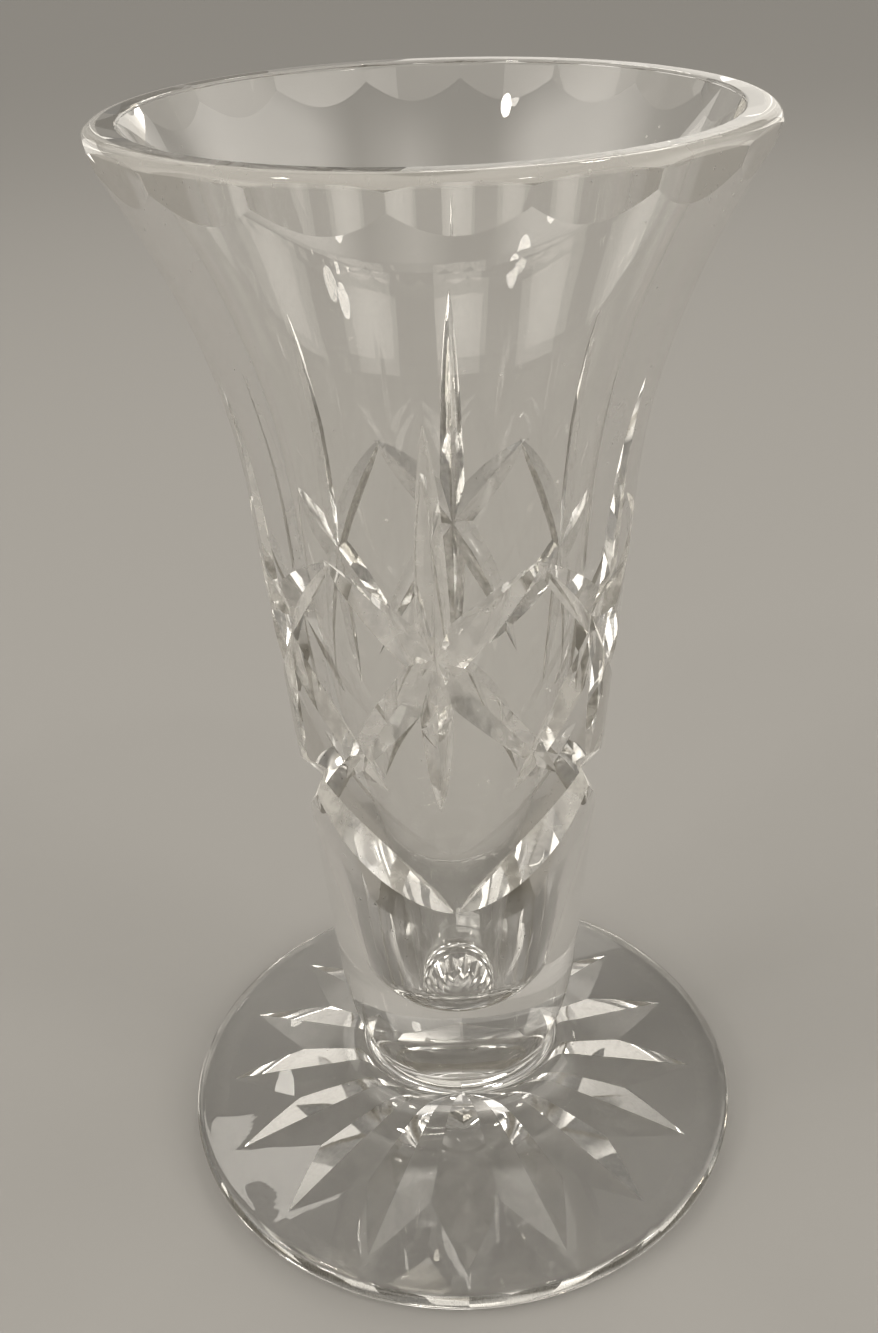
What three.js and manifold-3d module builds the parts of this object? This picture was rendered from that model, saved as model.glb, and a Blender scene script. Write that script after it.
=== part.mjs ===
// A footed crystal bud vase: a blown bowl with mitre-cut stars and festoons, and a star-cut foot
// joined to it hot at the neck. Millimetres and degrees, +Z up, the front of the vase towards -Y.
import * as THREE from 'three';
import { mergeVertices } from 'three/addons/utils/BufferGeometryUtils.js';
import Module from 'manifold-3d';

const wasm = await Module();
wasm.setup();

// Overall form
const vaseHeight = 150;
const rimDiameter = 79;
const waistDiameter = 30;
const footDiameter = 85;
const jointHeight = 16.5;

// Outer wall of the bowl: a rounded base, a slow cone and a trumpet flare
const shoulderHeight = 34;
const shoulderDiameter = 36.6;
const flareHeight = 107;
const flareDiameter = 48.8;
const baseRoundness = 3;

// Inside of the bowl: it follows the wall, then narrows to a well with a round end
const rimWall = 5;
const bodyWall = 5.2;
const baseThickness = 8.8;
const wellEndRadius = 7.5;
const wellTaper = 9;
const wellBow = 320;
const wellBlend = 9;

// Lip: a fine round inside and a broad one outside, over the thumb cuts
const lipInnerRound = 0.4;
const lipOuterRound = 2;
const lipSweep = 65;

// Flat thumb cuts round the outside of the rim
const thumbCount = 18;
const thumbHeight = 5.8;
const thumbTilt = 18.3;
const thumbTurn = 13.5;

// Mitre-cut stars: one upright blade crossed by two slanting cuts that overlap those of the next star
const starCount = 6;
const starHeight = 91.5;
const heartTurn = -4;
const bladeRise = 32.5;
const bladeDrop = 22.5;
const bladeDepth = 1.9;
const bladeAngle = 100;
const slantRise = 13.3;
const slantDrop = 20;
const slantUpperOverlap = 2;
const slantLowerOverlap = 9.5;
const slantDepth = 1.7;
const slantAngle = 118;
const crossingStep = 0.06;

// Festoon of long leaf cuts round the lower bowl, low under every other star
const festoonCount = 3;
const festoonLowHeight = 51.6;
const festoonRise = 20.6;
const festoonOverlap = 13;
const festoonDepth = 2.7;
const festoonAngle = 104;

// Foot
const footEdge = 3.4;
const footEdgeRound = 1.5;
const footCone = 3.2;
const footFlareDiameter = 46;
const neckPinch = 1;
const neckRise = 1.2;
const neckDrop = 3.5;
const standingRing = 6;
const footRayCount = 16;
const footRayDepth = 4.1;
const footRayAngle = 134;

// Fineness of the facets, and how far a cutter stands proud of the glass it leaves
const roundSteps = 60;
const cutSteps = 10;
const baseLevels = 5;
const coneLevels = 4;
const flareLevels = 8;
const lipLevels = 4;
const lipInnerLevels = 2;
const wellLevels = 6;
const endLevels = 6;
const edgeLevels = 4;
const neckLevels = 7;
const cutterProud = 1.6;
const cutterRunOut = 0.1;
const slopeReach = 0.01;

const crystal = { roughness: 0.03, metalness: 0, transparent: true, opacity: 0.45 };
const bowlColour = 0xe9e4d6;
const footColour = 0xe6e0d0;

// Radius of the outer wall at a height: cone between shoulder and flare, curves beyond them
const rimRadius = rimDiameter / 2;
const waistRadius = waistDiameter / 2;
const coneSlope = (flareDiameter - shoulderDiameter) / 2 / (flareHeight - shoulderHeight);
const coneRadius = (z) => shoulderDiameter / 2 + coneSlope * (z - shoulderHeight);
const baseTuck = coneRadius(jointHeight) - waistRadius;
const rimFlare = rimRadius - coneRadius(vaseHeight);
const flareShare = (z) => Math.max(0, z - flareHeight) / (vaseHeight - flareHeight);

function outerRadius(z) {
  const below = Math.max(0, shoulderHeight - z) / (shoulderHeight - jointHeight);
  return coneRadius(z) - baseTuck * below ** baseRoundness + rimFlare * flareShare(z) ** 2;
}

// Radius of the inside: it follows the wall, and a tapered well with a ball end blends into it
const wellFloor = jointHeight + baseThickness;
const wellCentre = wellFloor + wellEndRadius;
const taper = THREE.MathUtils.degToRad(wellTaper);

function innerRadius(z) {
  const alongWall = outerRadius(z) - bodyWall - (rimWall - bodyWall) * flareShare(z);
  const rise = z - wellCentre;
  const bow = Math.max(0, rise) ** 2 / (2 * wellBow);
  const cone = (wellEndRadius + rise * Math.sin(taper)) / Math.cos(taper) + bow;
  const ball = Math.sqrt(Math.max(0, wellEndRadius ** 2 - rise ** 2));
  const well = rise > -wellEndRadius * Math.sin(taper) ? cone : ball;
  return (alongWall ** -wellBlend + well ** -wellBlend) ** (-1 / wellBlend);
}

// Point and outward normal of the outer wall at an angle from the front
function wallPoint(angle, z) {
  const turn = THREE.MathUtils.degToRad(angle);
  const radius = outerRadius(z);
  return new THREE.Vector3(radius * Math.sin(turn), -radius * Math.cos(turn), z);
}

function wallNormal(angle, z) {
  const turn = THREE.MathUtils.degToRad(angle);
  const slope = (outerRadius(z + slopeReach) - outerRadius(z - slopeReach)) / (2 * slopeReach);
  return new THREE.Vector3(Math.sin(turn), -Math.cos(turn), -slope).normalize();
}

// Closed geometry to solid and back
function toSolid(geometry) {
  geometry.deleteAttribute('normal');
  geometry.deleteAttribute('uv');
  const merged = mergeVertices(geometry, 1e-5);
  const corners = merged.index.array;
  const triVerts = [];
  for (let i = 0; i < corners.length; i += 3) {
    const [a, b, c] = [corners[i], corners[i + 1], corners[i + 2]];
    if (a !== b && b !== c && c !== a) {
      triVerts.push(a, b, c);
    }
  }
  return new wasm.Manifold(new wasm.Mesh({
    numProp: 3,
    vertProperties: new Float32Array(merged.attributes.position.array),
    triVerts: new Uint32Array(triVerts),
  }));
}

function toMesh(solid, name, colour) {
  const { vertProperties, triVerts } = solid.getMesh();
  const geometry = new THREE.BufferGeometry();
  geometry.setAttribute('position', new THREE.BufferAttribute(vertProperties, 3));
  geometry.setIndex(new THREE.BufferAttribute(triVerts, 1));
  geometry.computeVertexNormals();
  const mesh = new THREE.Mesh(geometry, new THREE.MeshStandardMaterial({ ...crystal, color: colour }));
  mesh.name = name;
  return mesh;
}

// Solid turned about the Z axis from a profile of radius and height
function turned(profile, steps, startAngle = 0) {
  const start = THREE.MathUtils.degToRad(startAngle);
  return toSolid(new THREE.LatheGeometry(profile, steps, start).rotateX(Math.PI / 2));
}

// Wedge that a mitre wheel sweeps along a path: a V section, deepest half way and run out at both ends
function mitre(place, normal, depth, includedAngle) {
  const spread = Math.tan(THREE.MathUtils.degToRad(includedAngle / 2));
  const positions = [];
  const indices = [];
  for (let i = 0; i <= cutSteps; i += 1) {
    const t = i / cutSteps;
    const ahead = place(Math.min(1, t + slopeReach)).sub(place(Math.max(0, t - slopeReach)));
    const out = normal(t);
    const across = ahead.cross(out).normalize();
    const sunk = depth * ((1 + cutterRunOut) * (1 - (2 * t - 1) ** 2) - cutterRunOut);
    const halfWidth = (sunk + cutterProud) * spread;
    const valley = place(t).addScaledVector(out, -sunk);
    const top = place(t).addScaledVector(out, cutterProud);
    positions.push(...valley.toArray());
    positions.push(...top.clone().addScaledVector(across, halfWidth).toArray());
    positions.push(...top.clone().addScaledVector(across, -halfWidth).toArray());
  }
  for (let i = 0; i < cutSteps; i += 1) {
    for (let side = 0; side < 3; side += 1) {
      const a = 3 * i + side;
      const b = 3 * i + (side + 1) % 3;
      indices.push(a, a + 3, b, b, a + 3, b + 3);
    }
  }
  const last = 3 * cutSteps;
  indices.push(0, 1, 2, last, last + 2, last + 1);
  const geometry = new THREE.BufferGeometry();
  geometry.setAttribute('position', new THREE.Float32BufferAttribute(positions, 3));
  geometry.setIndex(indices);
  return toSolid(geometry);
}

// Mitre cut in the bowl's wall along a smooth path of angle and height
function wallMitre(stops, depth, includedAngle) {
  const path = new THREE.SplineCurve(stops.map(([angle, z]) => new THREE.Vector2(angle, z)));
  const place = (t) => wallPoint(path.getPoint(t).x, path.getPoint(t).y);
  const normal = (t) => wallNormal(path.getPoint(t).x, path.getPoint(t).y);
  return mitre(place, normal, depth, includedAngle);
}

// Heights spaced evenly from one level to another
function levels(from, to, count) {
  return Array.from({ length: count + 1 }, (unused, i) => from + (to - from) * i / count);
}

// Bowl blank: outer wall upwards, rim, inside wall downwards and the round end of the well
function bowlBlank() {
  const profile = [new THREE.Vector2(0, jointHeight)];
  const outer = [
    ...levels(jointHeight, shoulderHeight, baseLevels),
    ...levels(shoulderHeight, flareHeight, coneLevels).slice(1),
    ...levels(flareHeight, vaseHeight, flareLevels).slice(1),
  ];
  outer.forEach((z) => profile.push(new THREE.Vector2(outerRadius(z), z)));
  const lipBase = vaseHeight - lipInnerRound;
  const lipCentre = innerRadius(lipBase) + lipInnerRound;
  levels(0, Math.PI / 2, lipInnerLevels).slice(0, -1).forEach((turn) => {
    const radius = lipCentre - lipInnerRound * Math.sin(turn);
    profile.push(new THREE.Vector2(radius, lipBase + lipInnerRound * Math.cos(turn)));
  });
  const inner = [
    ...levels(lipBase, flareHeight, flareLevels),
    ...levels(flareHeight, wellCentre - wellEndRadius * Math.sin(taper), wellLevels).slice(1),
  ];
  inner.forEach((z) => profile.push(new THREE.Vector2(innerRadius(z), z)));
  levels(taper, Math.PI / 2, endLevels).slice(1, -1).forEach((turn) => {
    const z = wellCentre - wellEndRadius * Math.sin(turn);
    profile.push(new THREE.Vector2(innerRadius(z), z));
  });
  profile.push(new THREE.Vector2(0, wellFloor));
  return turned(profile, roundSteps);
}

// Flat face of a thumb cut: it leans out from the foot of the cut
const thumbFoot = vaseHeight - thumbHeight;
const thumbLean = Math.tan(THREE.MathUtils.degToRad(thumbTilt));
const thumbCorner = 1 / Math.cos(Math.PI / thumbCount);
const thumbFace = (z) => outerRadius(thumbFoot) + thumbLean * (z - thumbFoot);
const cutterTop = vaseHeight + cutterProud;
const cutterEdge = rimRadius * thumbCorner + cutterProud;

// Ring with flat inner faces that grinds the thumb cuts
function thumbRing() {
  const bottom = thumbFoot - cutterProud;
  return turned([
    new THREE.Vector2(thumbFace(bottom) * thumbCorner, bottom),
    new THREE.Vector2(cutterEdge, bottom),
    new THREE.Vector2(cutterEdge, cutterTop),
    new THREE.Vector2(thumbFace(cutterTop) * thumbCorner, cutterTop),
    new THREE.Vector2(thumbFace(bottom) * thumbCorner, bottom),
  ], thumbCount, thumbTurn);
}

// Ring that rounds the outer edge of the lip over the thumb cuts, and runs on straight past their corners
function lipRing() {
  const sweep = THREE.MathUtils.degToRad(lipSweep);
  const start = thumbFace(vaseHeight) - lipOuterRound * Math.sin(sweep);
  const arc = levels(0, sweep, lipLevels).map((turn) => new THREE.Vector2(
    start + lipOuterRound * Math.sin(turn),
    vaseHeight - lipOuterRound * (1 - Math.cos(turn)),
  ));
  const end = arc[lipLevels];
  const low = end.y - (cutterEdge - end.x) * Math.tan(sweep);
  return turned([
    new THREE.Vector2(cutterEdge, low),
    new THREE.Vector2(cutterEdge, cutterTop),
    new THREE.Vector2(start, cutterTop),
    ...arc,
    new THREE.Vector2(cutterEdge, low),
  ], roundSteps);
}

// Three crossing cuts of one star; its heart sits a little to one side of its lower tips
function starCuts(angle) {
  const middle = angle + heartTurn;
  const heart = [middle, starHeight];
  const blade = [[middle, starHeight + bladeRise], heart, [middle, starHeight - bladeDrop]];
  const cuts = [wallMitre(blade, bladeDepth, bladeAngle)];
  const halfPitch = 180 / starCount;
  [1, -1].forEach((side) => {
    const upper = [middle + side * (halfPitch + slantUpperOverlap), starHeight + slantRise];
    const lower = [angle - side * (halfPitch + slantLowerOverlap), starHeight - slantDrop];
    cuts.push(wallMitre([upper, heart, lower], slantDepth + side * crossingStep, slantAngle));
  });
  return cuts;
}

// Two leaves of the festoon that rise left and right from one low point
function festoonCuts(angle) {
  const span = 180 / festoonCount + festoonOverlap;
  return [1, -1].map((side) => {
    const low = [angle, festoonLowHeight];
    const middle = [angle + side * span / 2, festoonLowHeight + festoonRise / 2];
    const high = [angle + side * span, festoonLowHeight + festoonRise];
    return wallMitre([low, middle, high], festoonDepth + side * crossingStep, festoonAngle);
  });
}

function around(count, sweep, make) {
  return Array.from({ length: count }, (unused, i) => make(sweep * i / count)).flat();
}

function bowl() {
  const stars = around(starCount, 360, starCuts);
  const festoons = around(festoonCount, 360, festoonCuts);
  const cuts = [thumbRing(), lipRing(), ...stars, ...festoons];
  const solid = cuts.reduce((glass, cut) => glass.subtract(cut), bowlBlank());
  return toMesh(solid, 'bowl', bowlColour);
}

// Foot blank: flat underside, rounded edge, a low cone and a hollow neck that is pinched below the joint
function footBlank() {
  const edge = footDiameter / 2;
  const coneTop = footEdge + footCone;
  const pinched = waistRadius - neckPinch;
  const profile = [new THREE.Vector2(0, 0), new THREE.Vector2(edge - footEdgeRound, 0)];
  for (let i = 1; i <= edgeLevels; i += 1) {
    const turn = Math.PI * (i / edgeLevels - 0.5);
    const rise = footEdge / 2 * (1 + Math.sin(turn));
    profile.push(new THREE.Vector2(edge - footEdgeRound * (1 - Math.cos(turn)), rise));
  }
  const neck = new THREE.CubicBezierCurve(
    new THREE.Vector2(footFlareDiameter / 2, coneTop),
    new THREE.Vector2(pinched, coneTop + neckRise),
    new THREE.Vector2(pinched, jointHeight - neckDrop),
    new THREE.Vector2(waistRadius, jointHeight),
  );
  profile.push(...neck.getPoints(neckLevels));
  profile.push(new THREE.Vector2(0, jointHeight));
  return turned(profile, roundSteps);
}

// One pass of the wheel right across the underside, which leaves two opposite rays of the star
function footPass(angle) {
  const turn = THREE.MathUtils.degToRad(angle);
  const along = new THREE.Vector3(Math.sin(turn), -Math.cos(turn), 0);
  const reach = (footDiameter / 2 - standingRing) * Math.sqrt(1 + cutterRunOut);
  const place = (t) => along.clone().multiplyScalar(reach * (2 * t - 1));
  const down = () => new THREE.Vector3(0, 0, -1);
  return mitre(place, down, footRayDepth, footRayAngle);
}

function foot() {
  const passes = around(footRayCount / 2, 180, footPass);
  const solid = passes.reduce((glass, cut) => glass.subtract(cut), footBlank());
  return toMesh(solid, 'foot', footColour);
}

const vase = new THREE.Group();
vase.add(bowl(), foot());

export default vase;
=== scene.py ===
import bpy
import math
import numpy as np
from mathutils import Matrix, Vector


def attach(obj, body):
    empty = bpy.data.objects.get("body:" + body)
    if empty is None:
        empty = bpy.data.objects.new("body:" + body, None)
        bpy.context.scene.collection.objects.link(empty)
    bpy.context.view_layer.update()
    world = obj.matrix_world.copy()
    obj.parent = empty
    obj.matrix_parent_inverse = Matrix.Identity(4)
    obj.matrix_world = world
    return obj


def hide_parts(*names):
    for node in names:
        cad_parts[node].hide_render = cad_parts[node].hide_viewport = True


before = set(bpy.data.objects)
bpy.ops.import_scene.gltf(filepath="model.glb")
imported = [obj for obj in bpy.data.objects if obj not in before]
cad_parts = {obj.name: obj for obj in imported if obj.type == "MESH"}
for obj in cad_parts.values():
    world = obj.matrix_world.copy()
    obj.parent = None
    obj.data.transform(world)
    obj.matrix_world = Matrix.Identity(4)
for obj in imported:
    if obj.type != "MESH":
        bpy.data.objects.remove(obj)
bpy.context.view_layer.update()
scene = bpy.context.scene
scene.view_settings.view_transform = "Standard"
mm = 0.001
tiny, nonZero = 1e-6, 1e-9  # what counts as touching, and what keeps a root or a division safe
print("frame loaded, nodes", sorted(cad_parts))


# a socket that takes part in sums
class Wire:
    def __init__(self, finish, socket):
        self.finish, self.socket = finish, socket

    def combine(self, operation, first, second):
        return self.finish.node("ShaderNodeMath", {"operation": operation}, {0: first, 1: second})

    def __add__(self, other):
        return self.combine("ADD", self, other)

    def __radd__(self, other):
        return self.combine("ADD", other, self)

    def __sub__(self, other):
        return self.combine("SUBTRACT", self, other)

    def __rsub__(self, other):
        return self.combine("SUBTRACT", other, self)

    def __mul__(self, other):
        return self.combine("MULTIPLY", self, other)

    def __rmul__(self, other):
        return self.combine("MULTIPLY", other, self)

    def power(self, other):
        return self.combine("POWER", self, other)

    def above(self, other):
        return self.combine("GREATER_THAN", self, other)


# a node tree that is being wired up, for a material or for the world
class Finish:
    def __init__(self, owner):
        owner.use_nodes = True
        self.tree = owner.node_tree
        self.tree.nodes.clear()

    def node(self, kind, settings=None, inputs=None, output=0):
        made = self.tree.nodes.new(kind)
        for key, value in (settings or {}).items():
            if key == "stops":
                ramp = made.color_ramp
                while len(ramp.elements) < len(value):
                    ramp.elements.new(0.5)
                for stop, (place, tone) in zip(ramp.elements, value):
                    stop.position = place
                    stop.color = (tone, tone, tone, 1)
            else:
                setattr(made, key, value)
        for key, value in (inputs or {}).items():
            if isinstance(value, Wire):
                self.tree.links.new(value.socket, made.inputs[key])
            else:
                made.inputs[key].default_value = value
        return Wire(self, made.outputs[output]) if len(made.outputs) else None


# vertices and faces of a form turned about the upright axis, from a profile of radius and height
def turned(profile, steps, start=0):
    points, faces, rings = [], [], []
    for radius, z in profile:
        if rings and (radius, z) == profile[0]:
            rings.append(rings[0])
            continue
        if radius < tiny:
            rings.append([len(points)] * steps)
            points.append((0, 0, z))
            continue
        rings.append(list(range(len(points), len(points) + steps)))
        for i in range(steps):
            turn = math.radians(start) + 2 * math.pi * i / steps
            points.append((radius * math.sin(turn), -radius * math.cos(turn), z))
    for low, high in zip(rings, rings[1:]):
        for i in range(steps):
            k = (i + 1) % steps
            corners = [low[i], low[k], high[k], high[i]]
            faces.append([c for n, c in enumerate(corners) if c not in corners[:n]])
    return points, faces


# what all wheels share: how far they stand proud of the glass, their run-out, and the stride of their heading
wheelForm = {"proud": 1.6, "runOut": 0.1, "stride": 0.005}


# wedge that a mitre wheel sweeps: a V section, deepest half way and run out at both ends
def mitre(place, normal, depth, includedAngle, steps):
    proud, runOut, stride = wheelForm["proud"], wheelForm["runOut"], wheelForm["stride"]
    spread = math.tan(math.radians(includedAngle / 2))
    points, faces = [], []
    for i in range(steps + 1):
        t = i / steps
        ahead = place(min(1, t + stride)) - place(max(0, t - stride))
        out = normal(t)
        across = ahead.cross(out).normalized()
        sunk = depth * ((1 + runOut) * (1 - (2 * t - 1) ** 2) - runOut)
        top = place(t) + out * proud
        reach = across * (sunk + proud) * spread
        points += [place(t) - out * sunk, top + reach, top - reach]
    for i in range(steps):
        for side in range(3):
            a, b = 3 * i + side, 3 * i + (side + 1) % 3
            faces.append([a, a + 3, b + 3, b])
    last = 3 * steps
    faces += [[0, 1, 2], [last, last + 2, last + 1]]
    return points, faces


def asObject(name, forms):
    points, faces = [], []
    for formPoints, formFaces in forms:
        faces += [[c + len(points) for c in face] for face in formFaces]
        points += [tuple(p) for p in formPoints]
    mesh = bpy.data.meshes.new(name)
    mesh.from_pydata(points, [], faces)
    mesh.update()
    made = bpy.data.objects.new(name, mesh)
    scene.collection.objects.link(made)
    return made


# takes one family of wheel cuts out of a piece
def cutAway(piece, forms):
    wheel = asObject("wheel", forms)
    step = piece.modifiers.new("cut", "BOOLEAN")
    step.operation, step.solver, step.object = "DIFFERENCE", "MANIFOLD", wheel
    seen = bpy.context.evaluated_depsgraph_get()
    cut = bpy.data.meshes.new_from_object(piece.evaluated_get(seen))
    piece.modifiers.clear()
    print(piece.name, "faces", len(piece.data.polygons), "cut to", len(cut.polygons))
    old, wheelMesh = piece.data, wheel.data
    piece.data = cut
    bpy.data.objects.remove(wheel)
    bpy.data.meshes.remove(wheelMesh)
    bpy.data.meshes.remove(old)


# in degrees: beyond crisp an edge stays sharp, and within near of the true surface a face lies on it
polishForm = {"crisp": 11, "near": 7}


# crisp edges between cuts, true normals where trueNormal knows the surface, and the finish cutKind gives
def polish(piece, trueNormal, cutKind):
    crisp, near = math.cos(math.radians(polishForm["crisp"])), math.cos(math.radians(polishForm["near"]))
    mesh = piece.data
    count, corners = len(mesh.polygons), len(mesh.loops)
    centre, flat = np.empty(count * 3), np.empty(count * 3)
    mesh.polygons.foreach_get("center", centre)
    mesh.polygons.foreach_get("normal", flat)
    centre, flat = centre.reshape(-1, 3), flat.reshape(-1, 3)
    surface, ideal = trueNormal(centre)
    onSurface = (surface >= 0) & ((ideal * flat).sum(1) > near)
    kind = np.where(onSurface, surface, -1)
    mesh.materials.clear()
    mesh.polygons.foreach_set("material_index", cutKind(kind, centre, flat).astype(np.int32))
    cornerVertex, edgeOf = np.empty(corners, int), np.empty(corners, int)
    mesh.loops.foreach_get("vertex_index", cornerVertex)
    mesh.loops.foreach_get("edge_index", edgeOf)
    sides = np.empty(count, int)
    mesh.polygons.foreach_get("loop_total", sides)
    faceOf = np.repeat(np.arange(count), sides)
    order = np.argsort(edgeOf, kind="stable")
    first, second = faceOf[order[0::2]], faceOf[order[1::2]]
    bend = (flat[first] * flat[second]).sum(1) < crisp
    sharp = bend | (kind[first] != kind[second])
    mesh.polygons.foreach_set("use_smooth", np.ones(count, bool))
    mesh.edges.foreach_set("use_edge_sharp", sharp)
    mesh.update()
    normals = np.empty(corners * 3)
    mesh.corner_normals.foreach_get("vector", normals)
    normals = normals.reshape(-1, 3)
    places = np.empty(len(mesh.vertices) * 3)
    mesh.vertices.foreach_get("co", places)
    places = places.reshape(-1, 3)[cornerVertex]
    cornerKind, cornerIdeal = trueNormal(places)
    known = kind[faceOf]
    wanted = (known >= 0) & (cornerKind == known)
    normals[wanted] = cornerIdeal[wanted]
    mesh.transform(Matrix.Scale(mm, 4))
    mesh.normals_split_custom_set(normals.tolist())
    mesh.update()
    print(piece.name, "faces", count, "crisp edges", int(sharp.sum()))


# sizes in millimetres, angles in degrees from the front
bowlForm = {
    "height": 150, "rim": 79, "waist": 30, "joint": 16.5, "baseRound": 3,
    "shoulder": (34, 36.6), "flare": (107, 48.8),  # height and width
    "rimWall": 5, "bodyWall": 5.2, "lipInner": 0.4, "lipOuter": 2, "lipSweep": 65,
    "wellFloor": 25.3, "wellRound": 7.5, "wellTaper": 9, "wellBow": 320, "wellBlend": 9,
    "thumbs": 18, "thumbHeight": 5.8, "thumbTilt": 18.3, "thumbTurn": 13.5,
    "stars": 6, "starHeight": 91.5, "heartTurn": -4,
    "bladeRise": 32.5, "bladeDrop": 22.5, "bladeDepth": 1.9, "bladeAngle": 100,
    "slantUpper": (32, 13.3), "slantLower": (39.5, 20),  # turn and height, away from the star
    "slantDepth": 1.7, "slantAngle": 118,
    "festoons": 3, "festoonLow": 51.6, "festoonRise": 20.6, "festoonSpan": 73,
    "festoonDepth": 2.73, "festoonAngle": 104, "festoonReach": 3.9,
    "crossing": 0.06,  # one side is cut a little deeper, so that no two cuts share an edge
    "cutZone": (40, 130), "onWall": 0.04, "lipSlack": 0.02, "tipClear": 0.2, "slopeStep": 0.01,
    "roundSteps": 288, "levelStep": 1.0, "insideStep": 1.4, "cutSteps": 72,
    "lipInnerSteps": 8, "lipOuterSteps": 14, "tipSteps": 40,
}


def coneRadius(z):
    (low, lowWide), (high, highWide) = bowlForm["shoulder"], bowlForm["flare"]
    return lowWide / 2 + (highWide - lowWide) / 2 / (high - low) * (z - low)


def flareShare(z):
    low = bowlForm["flare"][0]
    return np.maximum(0, z - low) / (bowlForm["height"] - low)


def outerRadius(z):
    low, joint = bowlForm["shoulder"][0], bowlForm["joint"]
    tuck = coneRadius(joint) - bowlForm["waist"] / 2
    flare = bowlForm["rim"] / 2 - coneRadius(bowlForm["height"])
    below = np.maximum(0, low - z) / (low - joint)
    return coneRadius(z) - tuck * below ** bowlForm["baseRound"] + flare * flareShare(z) ** 2


# the inside follows the wall, then narrows to a round-tipped cone
def innerRadius(z):
    form = bowlForm
    along = outerRadius(z) - form["bodyWall"] - (form["rimWall"] - form["bodyWall"]) * flareShare(z)
    ball, taper, blend = form["wellRound"], math.radians(form["wellTaper"]), form["wellBlend"]
    rise = z - form["wellFloor"] - ball
    bow = np.maximum(rise, 0) ** 2 / (2 * form["wellBow"])
    cone = (ball + rise * math.sin(taper)) / math.cos(taper) + bow
    end = np.sqrt(np.maximum(ball ** 2 - np.minimum(rise, 0) ** 2, nonZero))
    well = np.where(rise > -ball * math.sin(taper), cone, end)
    return (along ** -blend + well ** -blend) ** (-1 / blend)


def slopeOf(radius, z):
    step = bowlForm["slopeStep"]
    return (radius(z + step) - radius(z - step)) / (2 * step)


def wallPoint(angle, z):
    turn, radius = math.radians(angle), float(outerRadius(z))
    return Vector((radius * math.sin(turn), -radius * math.cos(turn), z))


def wallNormal(angle, z):
    turn = math.radians(angle)
    return Vector((math.sin(turn), -math.cos(turn), -float(slopeOf(outerRadius, z)))).normalized()


# smooth path through three stops, as (angle, height) at a share t of its length
def pathThrough(stops, t):
    k = min(int(t * 2), 1)
    u = t * 2 - k
    p1, p2 = stops[k], stops[k + 1]
    p0 = stops[k - 1] if k > 0 else p1
    p3 = stops[k + 2] if k + 2 < len(stops) else p2
    spot = []
    for a, b, c, d in zip(p0, p1, p2, p3):
        v0, v1 = (c - a) / 2, (d - b) / 2
        cubic, square = 2 * b - 2 * c + v0 + v1, 3 * c - 3 * b - 2 * v0 - v1
        spot.append(cubic * u ** 3 + square * u ** 2 + v0 * u + b)
    return spot


def wallMitre(stops, depth, includedAngle):
    return mitre(lambda t: wallPoint(*pathThrough(stops, t)), lambda t: wallNormal(*pathThrough(stops, t)),
                 depth, includedAngle, bowlForm["cutSteps"])


def spaced(low, high, step):
    count = max(1, round(abs(high - low) / step))
    return [low + (high - low) * i / count for i in range(count + 1)]


def bowlBlank():
    form = bowlForm
    rounding, steps = form["lipInner"], form["lipInnerSteps"]
    lipBase = form["height"] - rounding
    profile = [(0, form["joint"])]
    profile += [(float(outerRadius(z)), z) for z in spaced(form["joint"], form["height"], form["levelStep"])]
    lipCentre = float(innerRadius(lipBase)) + rounding
    for i in range(steps):
        turn = math.pi / 2 * i / steps
        profile.append((lipCentre - rounding * math.sin(turn), lipBase + rounding * math.cos(turn)))
    wellTop = form["wellFloor"] + 2 * form["wellRound"]
    profile += [(float(innerRadius(z)), z) for z in spaced(lipBase, wellTop, form["insideStep"])]
    for i in range(1, form["tipSteps"]):
        z = form["wellFloor"] + (wellTop - form["wellFloor"]) * (1 - i / form["tipSteps"]) ** 2
        profile.append((float(innerRadius(z)), z))
    profile.append((0, form["wellFloor"]))
    return turned(profile, form["roundSteps"])


def thumbFace(z):
    low = bowlForm["height"] - bowlForm["thumbHeight"]
    return float(outerRadius(low)) + math.tan(math.radians(bowlForm["thumbTilt"])) * (z - low)


# what is ground off the outside of the rim: flat thumb cuts, then a broad round on the lip
def rimRings():
    form, proud, top = bowlForm, wheelForm["proud"], bowlForm["height"]
    corner = 1 / math.cos(math.pi / form["thumbs"])
    low, high = top - form["thumbHeight"] - proud, top + proud
    clear = form["rim"] / 2 * corner + proud
    start = (thumbFace(low) * corner, low)
    section = [start, (clear, low), (clear, high), (thumbFace(high) * corner, high), start]
    thumbs = turned(section, form["thumbs"], form["thumbTurn"])
    sweep, rounding, steps = math.radians(form["lipSweep"]), form["lipOuter"], form["lipOuterSteps"]
    inside = thumbFace(top) - rounding * math.sin(sweep)
    arc = []
    for i in range(steps + 1):
        turn = sweep * i / steps
        arc.append((inside + rounding * math.sin(turn), top - rounding * (1 - math.cos(turn))))
    end = (clear, arc[-1][1] - (clear - arc[-1][0]) * math.tan(sweep))
    lip = turned([end, (clear, high), (inside, high), *arc, end], form["roundSteps"])
    return thumbs, lip


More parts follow.
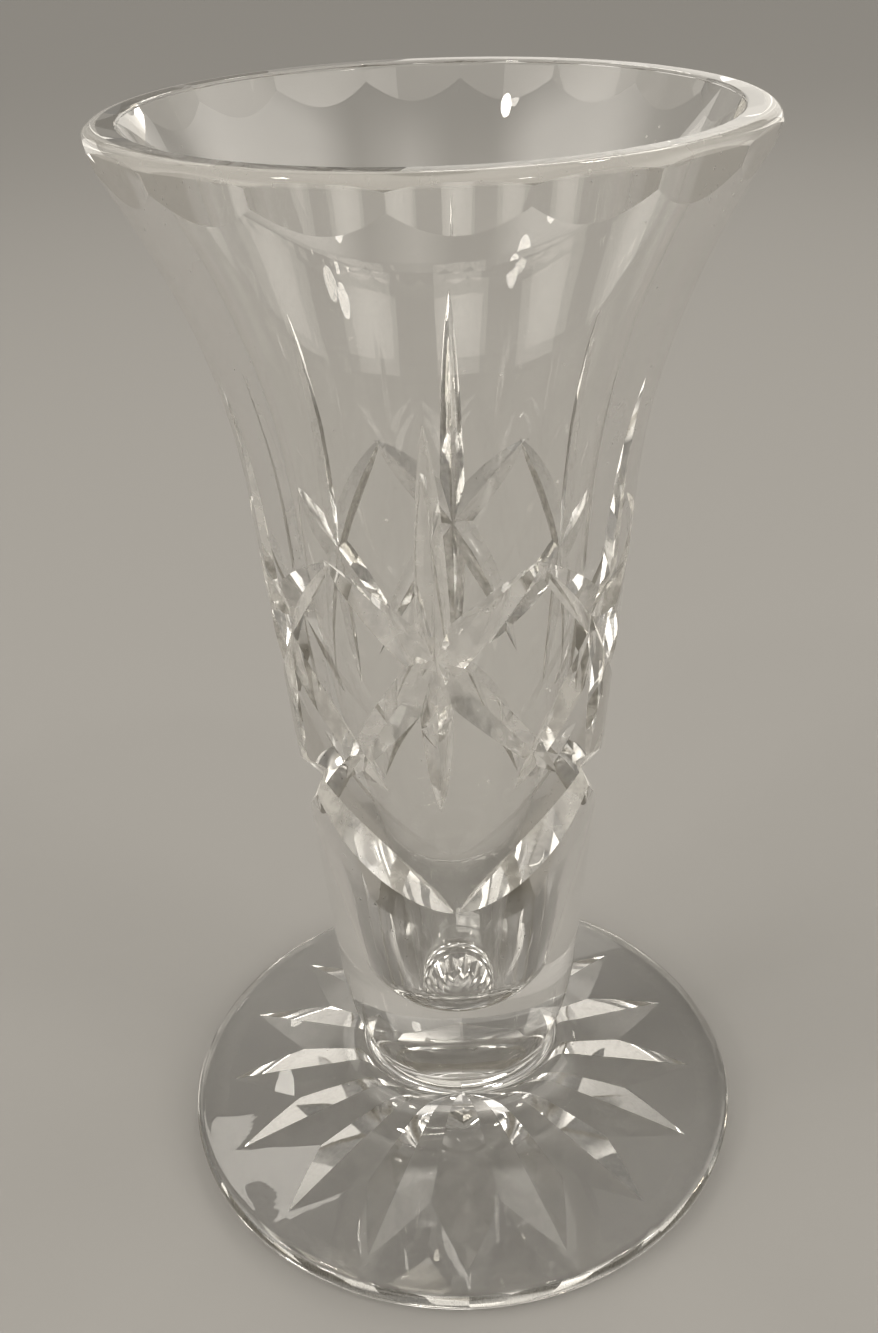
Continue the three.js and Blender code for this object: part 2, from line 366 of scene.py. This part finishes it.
# nearest true surface of the bowl at each point: 0 outside wall, 1 inside wall, -1 neither
def bowlNormal(points):
    form = bowlForm
    radius, z = np.hypot(points[:, 0], points[:, 1]), points[:, 2]
    safe = np.maximum(radius, nonZero)
    wallTop = form["height"] - form["lipInner"] + form["lipSlack"]
    wellBase = form["wellFloor"] + form["tipClear"]
    outside = (np.abs(radius - outerRadius(z)) < form["onWall"]) & (z < wallTop)
    inside = (np.abs(radius - innerRadius(z)) < form["onWall"]) & (z < wallTop) & (z > wellBase)
    kind = np.where(outside, 0, np.where(inside, 1, -1))
    slope = np.where(outside, slopeOf(outerRadius, z), slopeOf(innerRadius, np.maximum(z, wellBase)))
    ideal = np.stack([points[:, 0] / safe, points[:, 1] / safe, -slope], 1)
    ideal /= np.linalg.norm(ideal, axis=1)[:, None]
    ideal[kind == 1] *= -1
    return kind, ideal


# place of each face's finish in the list that dress gets
plainGlass, sealFace, starCut, festoonCut = 0, 1, 2, 3
rayCut = 2


def bowlCut(kind, centre, flat):
    form = bowlForm
    low, high = form["cutZone"]
    apart = 360 / form["festoons"]
    turn = np.degrees(np.arctan2(centre[:, 0], -centre[:, 1])) % apart
    away = np.minimum(turn, apart - turn) / form["festoonSpan"]
    z = centre[:, 2]
    inStar = z > form["festoonLow"] + form["festoonRise"] * away + form["festoonReach"]
    inCut = (kind < 0) & (z > low) & (z < high)
    return np.where(inCut, np.where(inStar, starCut, festoonCut), plainGlass)


def makeBowl():
    form = bowlForm
    bowl = asObject("bowl_crystal", [bowlBlank()])
    for ring in rimRings():
        cutAway(bowl, [ring])
    level = form["starHeight"]
    blades, slants = [], {1: [], -1: []}
    for i in range(form["stars"]):
        angle = 360 * i / form["stars"]
        middle = angle + form["heartTurn"]
        heart = (middle, level)
        stops = [(middle, level + form["bladeRise"]), heart, (middle, level - form["bladeDrop"])]
        blades.append(wallMitre(stops, form["bladeDepth"], form["bladeAngle"]))
        for side in slants:
            upper = (middle + side * form["slantUpper"][0], level + form["slantUpper"][1])
            lower = (angle - side * form["slantLower"][0], level - form["slantLower"][1])
            depth = form["slantDepth"] + side * form["crossing"]
            slants[side].append(wallMitre([upper, heart, lower], depth, form["slantAngle"]))
    for family in (blades, slants[1], slants[-1]):
        cutAway(bowl, family)
    span, low, rise = form["festoonSpan"], form["festoonLow"], form["festoonRise"]
    for side in (1, -1):
        depth = form["festoonDepth"] + side * form["crossing"]
        leaves = []
        for i in range(form["festoons"]):
            angle = 360 * i / form["festoons"]
            half, end = (angle + side * span / 2, low + rise / 2), (angle + side * span, low + rise)
            leaves.append(wallMitre([(angle, low), half, end], depth, form["festoonAngle"]))
        cutAway(bowl, leaves)
    polish(bowl, bowlNormal, bowlCut)
    return bowl


# sizes in millimetres; a ray's faces look down by at least rayFacing and lie above rayAbove
footForm = {
    "width": 85, "edge": 3.4, "edgeRound": 1.5, "cone": 3.2, "flareWidth": 46,
    "pinch": 1.0, "neckDrop": 3.5, "neckRise": 1.2,
    "rays": 16, "rayTip": 36.5, "rayDepth": 4.1, "rayAngle": 134, "rayFacing": -0.3, "rayAbove": 0.02,
    "roundSteps": 288, "edgeSteps": 20, "coneSteps": 12, "neckSteps": 40, "cutSteps": 48,
}


def footBlank():
    form = footForm
    edge, rounding, thick = form["width"] / 2, form["edgeRound"], form["edge"]
    flare, waist, joint = form["flareWidth"] / 2, bowlForm["waist"] / 2, bowlForm["joint"]
    start, coneTop, pinched = edge - rounding, thick + form["cone"], waist - form["pinch"]
    profile = [(0, 0), (start, 0)]
    steps = form["edgeSteps"]
    for i in range(1, steps + 1):
        turn = math.pi * (i / steps - 0.5)
        profile.append((edge - rounding * (1 - math.cos(turn)), thick / 2 * (1 + math.sin(turn))))
    steps = form["coneSteps"]
    for i in range(1, steps + 1):
        profile.append((start + (flare - start) * i / steps, thick + form["cone"] * i / steps))
    neck = [(flare, coneTop), (pinched, coneTop + form["neckRise"]), (pinched, joint - form["neckDrop"]),
            (waist, joint)]
    steps = form["neckSteps"]
    for i in range(1, steps + 1):
        t = i / steps
        share = ((1 - t) ** 3, 3 * t * (1 - t) ** 2, 3 * t * t * (1 - t), t ** 3)
        profile.append(tuple(sum(s * point[axis] for s, point in zip(share, neck)) for axis in (0, 1)))
    profile.append((0, joint))
    return turned(profile, form["roundSteps"])


# the foot's normals all follow its mesh
def footNormal(points):
    return np.full(len(points), -1), np.zeros((len(points), 3))


def footCut(kind, centre, flat):
    inRay = (flat[:, 2] < footForm["rayFacing"]) & (centre[:, 2] > footForm["rayAbove"])
    return np.where(inRay, rayCut, plainGlass)


def makeFoot():
    form = footForm
    foot = asObject("foot_crystal", [footBlank()])
    for i in range(form["rays"] // 2):  # each pass of the wheel crosses the middle and makes two rays
        turn = math.radians(360 * i / form["rays"])
        toTip = Vector((math.sin(turn), -math.cos(turn), 0)) * form["rayTip"]
        along = toTip * math.sqrt(1 + wheelForm["runOut"])
        cutAway(foot, [mitre(lambda t: along * (2 * t - 1), lambda t: Vector((0, 0, -1)),
                             form["rayDepth"], form["rayAngle"], form["cutSteps"])])
    polish(foot, footNormal, footCut)
    return foot


# clear lead crystal: waves from blowing and grinding, wheel marks in the cuts that are partly grinding
# texture and partly painted reflection, hairline scratches, dust specks, dried smears, a lip band of painted
# reflection and a worn standing ring
# a noise is given as size, detail and roughness, and its stops make a mask of it
crystalLook = {
    "tint": (0.992, 0.99, 0.982, 1), "bending": 1.55, "haze": 0.012,
    "wave": (55, 2, 0.45), "waveHeight": 0.00005, "grind": (420, 1, 0.5), "grindHeight": 0.0000005,
    # film colour: dust and wear, and also the painted reflections on the lip and on the cut facets
    "dustAndSheen": (0.92, 0.9, 0.85, 1), "dustAndSheenRoughness": 0.6,
    "smear": (48, 6, 0.62), "smearStops": [(0.52, 0), (0.78, 1)], "smearShare": 0.03,
    "speckSize": 420, "speckStops": [(0.05, 1), (0.1, 0)], "speckShare": 0.5,
    "sparse": (130, 2, 0.5), "sparseStops": [(0.6, 0), (0.66, 1)],
    "scratch": (1, 2, 0.5), "scratchStops": [(0.7, 0), (0.76, 1)], "scratchShare": 0.05,
    "scratchTurn": (0.5, 0.35, 0.8), "scratchScale": (2600, 60, 900),
    "worn": (700, 4, 0.7), "wornStops": [(0.42, 0), (0.6, 1)], "wornShare": 0.06,
    "wornRing": (0.0372, 0.0414), "wornBelow": 0.0004,
    # the lip band: a pale film that paints the ceiling's reflection on the lip
    "lipFrom": 0.1488, "lipInside": 0.0362, "lipSheenShare": 0.26,
    # wheel marks in the cuts: a grinding texture, made pale so that it also paints the cut facets' reflected
    # light
    "wheel": (380, 2.5, 0.55), "wheelStops": [(0.38, 0.2), (0.62, 1)],
    "starWheelAndSheen": 0.3, "festoonWheelAndSheen": 0.4, "rayWheelAndSheen": 0.12,
    "deepest": 2.5, "deepTint": (0.78, 0.77, 0.745, 1),
}


def crystal(name, wheelAndSheenShare=0):
    look = crystalLook
    made = bpy.data.materials.new(name)
    finish = Finish(made)
    place = finish.node("ShaderNodeTexCoord", output="Object")

    def noise(kind, spot=place):
        size, detail, rough = look[kind]
        inputs = {"Vector": spot, "Scale": size, "Detail": detail, "Roughness": rough}
        return finish.node("ShaderNodeTexNoise", {}, inputs)

    def mask(kind, value):
        return finish.node("ShaderNodeValToRGB", {"stops": look[kind + "Stops"]}, {"Fac": value})

    waves = noise("wave") * look["waveHeight"] + noise("grind") * look["grindHeight"]
    bump = finish.node("ShaderNodeBump", {}, {"Height": waves, "Strength": 1, "Distance": 1})
    smears = mask("smear", noise("smear"))
    glass = finish.node("ShaderNodeBsdfPrincipled", {}, {
        "Base Color": look["tint"], "IOR": look["bending"], "Transmission Weight": 1,
        "Roughness": smears * look["haze"], "Normal": bump})
    cells = finish.node("ShaderNodeTexVoronoi", {}, {"Vector": place, "Scale": look["speckSize"]})
    specks = mask("speck", cells) * mask("sparse", noise("sparse"))
    stretched = finish.node("ShaderNodeMapping", {}, {
        "Vector": place, "Rotation": look["scratchTurn"], "Scale": look["scratchScale"]})
    scratches = mask("scratch", noise("scratch", stretched))
    x, y, z = [finish.node("ShaderNodeSeparateXYZ", {}, {0: place}, output=axis) for axis in "XYZ"]
    reach = (x * x + y * y).power(0.5)
    low, high = look["wornRing"]
    ring = reach.above(low) * (1 - reach.above(high)) * (1 - z.above(look["wornBelow"]))
    worn = ring * mask("worn", noise("worn"))
    lip = z.above(look["lipFrom"]) * reach.above(look["lipInside"])  # painted reflection: a pale band of film on the lip stands in for the ceiling's reflection there
    marks = specks * look["speckShare"] + smears * look["smearShare"] + scratches * look["scratchShare"]
    # the worn standing ring is real wear; the lip term is painted reflection
    wearAndSheen = worn * look["wornShare"] + lip * look["lipSheenShare"]
    # the wheel-mark share is partly grinding texture and partly painted reflection on the cut facets
    cover = marks + wearAndSheen + mask("wheel", noise("wheel")) * wheelAndSheenShare
    # one pale film for dust, smears, scratches and wear, which also paints the lip's reflection and the cut
    # facets' reflected light
    film = finish.node("ShaderNodeBsdfPrincipled", {}, {
        "Base Color": look["dustAndSheen"], "Roughness": look["dustAndSheenRoughness"]})
    surface = finish.node("ShaderNodeMixShader", {}, {0: cover, 1: glass, 2: film})
    bounces = finish.node("ShaderNodeLightPath", output="Glossy Depth")
    trapped = bounces.above(look["deepest"])  # light caught between the facets runs straight out
    clear = finish.node("ShaderNodeBsdfTransparent", {}, {"Color": look["deepTint"]})
    shader = finish.node("ShaderNodeMixShader", {}, {0: trapped, 1: surface, 2: clear})
    finish.node("ShaderNodeOutputMaterial", {}, {"Surface": shader})
    return made


# the hot seal at the neck: glass runs through it unbroken, so the two closed pieces share a clear face there
def clearSeal():
    made = bpy.data.materials.new("hot_seal")
    finish = Finish(made)
    shader = finish.node("ShaderNodeBsdfPrincipled", {}, {"Base Color": (1, 1, 1, 1), "Alpha": 0})
    finish.node("ShaderNodeOutputMaterial", {}, {"Surface": shader})
    return made


def dress(piece, slot, node, *materials):
    mesh = piece.data
    for material in materials:
        mesh.materials.append(material)
    joint, level = bowlForm["joint"] * mm, 0.99
    for face in mesh.polygons:
        atJoint = all(abs(mesh.vertices[v].co.z - joint) < tiny for v in face.vertices)
        if atJoint and abs(face.normal.z) > level:
            face.material_index = sealFace
    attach(piece, "root")
    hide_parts(node)


seal = clearSeal()
bowl = makeBowl()
# the cut finishes carry pale wheel marks, which also paint the facets' reflected light
starGlass = crystal("bowl_cuts", crystalLook["starWheelAndSheen"])
festoonGlass = crystal("festoon_cuts", crystalLook["festoonWheelAndSheen"])
dress(bowl, "bowl_crystal", "bowl", crystal("bowl_glass"), seal, starGlass, festoonGlass)
print("bowl cut and dressed")
foot = makeFoot()
# the rays' wheel marks also paint a little reflected light on the cut facets
rayGlass = crystal("foot_cuts", crystalLook["rayWheelAndSheen"])
dress(foot, "foot_crystal", "foot", crystal("foot_glass"), seal, rayGlass)
print("foot cut and dressed")

# light levels of the studio: ceiling and panels by the sine of their height, panels also by their turn
stageLook = {
    "floor": (0.4, 0.39, 0.375, 1), "floorRoughness": 0.9, "floorShine": 0.1,
    "floorReach": 6, "floorDrop": 0.00005, "warmth": (1, 0.955, 0.88, 1),
    "ceiling": [(0.0, 0.266), (0.25, 0.266), (0.31, 0.08), (0.66, 0.08), (0.8, 0.36), (1.0, 0.36)],
    "panels": [(0.28, 0), (0.36, 1), (0.64, 1), (0.76, 0)],
    "turns": [(0.0, 2.2), (0.1, 2.1), (0.16, 0.15), (0.22, 0.15), (0.28, 1.2), (0.36, 0.15), (0.42, 2.0),
              (0.56, 2.2), (0.62, 0.15), (0.68, 0.15), (0.74, 0.9), (0.82, 0.85), (0.86, 0.15), (0.92, 0.15),
              (1.0, 2.2)],
}


def makeStage():
    look, reach = stageLook, stageLook["floorReach"]
    corners = [(-reach, -reach, 0), (reach, -reach, 0), (reach, reach, 0), (-reach, reach, 0)]
    floor = asObject("floor", [(corners, [[0, 1, 2, 3]])])
    floor.location.z = -look["floorDrop"]
    paper = bpy.data.materials.new("pale_paper")
    finish = Finish(paper)
    shader = finish.node("ShaderNodeBsdfPrincipled", {}, {
        "Base Color": look["floor"], "Roughness": look["floorRoughness"],
        "Specular IOR Level": look["floorShine"]})
    finish.node("ShaderNodeOutputMaterial", {}, {"Surface": shader})
    floor.data.materials.append(paper)
    scene.world = bpy.data.worlds.new("studio")
    finish = Finish(scene.world)
    place = finish.node("ShaderNodeTexCoord", output="Generated")
    height = finish.node("ShaderNodeSeparateXYZ", {}, {0: place}, output="Z")
    around = {"gradient_type": "RADIAL"}
    turn = finish.node("ShaderNodeTexGradient", around, {"Vector": place}, output="Fac")

    def level(part, along):
        return finish.node("ShaderNodeValToRGB", {"stops": look[part]}, {"Fac": along})

    glow = level("ceiling", height) + level("panels", height) * level("turns", turn)
    sky = finish.node("ShaderNodeBackground", {}, {"Color": look["warmth"], "Strength": glow})
    finish.node("ShaderNodeOutputWorld", {}, {"Surface": sky})


# places and sizes in metres, powers in watts
lamps = {
    "ceilingLeft": {"shape": "ELLIPSE", "place": (-0.3, 0.05, 0.75), "size": (0.05, 0.05), "power": 0.25},
    "ceilingRight": {"shape": "ELLIPSE", "place": (0.28, -0.3, 0.8), "size": (0.05, 0.05), "power": 0.25},
    "ceilingNear": {"shape": "ELLIPSE", "place": (-0.4, -0.45, 0.8), "size": (0.06, 0.06), "power": 0.25},
    "ceilingBack": {"shape": "ELLIPSE", "place": (0.22, 0.5, 0.75), "size": (0.05, 0.05), "power": 0.2},
    "sparkRight": {"shape": "ELLIPSE", "place": (0.69, -0.32, 0.31), "size": (0.1, 0.1), "power": 0.4},
    "sparkLeft": {"shape": "ELLIPSE", "place": (-0.57, -0.46, 0.39), "size": (0.1, 0.1), "power": 0.4},
    "sparkHighRight": {"shape": "ELLIPSE", "place": (0.59, -0.35, 0.5), "size": (0.08, 0.08), "power": 0.25},
    "sparkHighLeft": {"shape": "ELLIPSE", "place": (-0.66, -0.21, 0.5), "size": (0.08, 0.08), "power": 0.25},
    "overhead": {"shape": "RECTANGLE", "place": (0, 0.05, 0.52), "size": (0.3, 0.3), "power": 0.1},
    "backSoftbox": {"shape": "RECTANGLE", "place": (0.12, 0.7, 0.55), "size": (0.26, 0.12), "power": 0.4},
}
lampAim = Vector((0, 0, 0.07))

# a ring of low softboxes, which the cuts throw back, each with its power by its turn in degrees
lowRing = {
    "powers": {15: 0.15, 75: 0.08, 135: 0.12, 195: 0.16, 255: 0.17, 315: 0.17},
    "distance": 0.95, "height": 0.27, "size": (0.55, 0.3), "spread": 70,
}


def addLamp(name, shape, place, size, power, spread=180):
    light = bpy.data.lights.new(name, "AREA")
    light.shape, light.energy, light.color = shape, power, stageLook["warmth"][:3]
    light.size, light.size_y = size
    light.spread = math.radians(spread)
    made = bpy.data.objects.new(name, light)
    made.location = place
    made.rotation_mode = "QUATERNION"
    made.rotation_quaternion = (lampAim - made.location).to_track_quat("-Z", "Y")
    made.visible_camera = False
    scene.collection.objects.link(made)


def makeLamps():
    for name, lamp in lamps.items():
        addLamp(name, **lamp)
    for turn, power in lowRing["powers"].items():
        side = Vector((math.cos(math.radians(turn)), math.sin(math.radians(turn)), 0)) * lowRing["distance"]
        place = (side.x, side.y, lowRing["height"])
        addLamp(f"low{turn}", "RECTANGLE", place, lowRing["size"], power, lowRing["spread"])


cameraLook = {
    "place": (0, -0.1663, 0.1756), "lens": 38.48, "sensor": 36, "clip": (0.01, 30),
    "right": (0.99946, -0.01057, -0.03118), "up": (0.03224, 0.50493, 0.86256),
}


def makeCamera():
    look = cameraLook
    data = bpy.data.cameras.new("camera")
    data.lens, data.sensor_width, data.sensor_fit = look["lens"], look["sensor"], "AUTO"
    data.clip_start, data.clip_end = look["clip"]
    made = bpy.data.objects.new("camera", data)
    right = Vector(look["right"]).normalized()
    back = right.cross(Vector(look["up"])).normalized()
    up = back.cross(right)
    turn = Matrix((right, up, back)).transposed().to_4x4()
    made.matrix_world = Matrix.Translation(look["place"]) @ turn
    scene.collection.objects.link(made)
    scene.camera = made


makeStage()
makeLamps()
makeCamera()
print("stage, lamps and camera set")
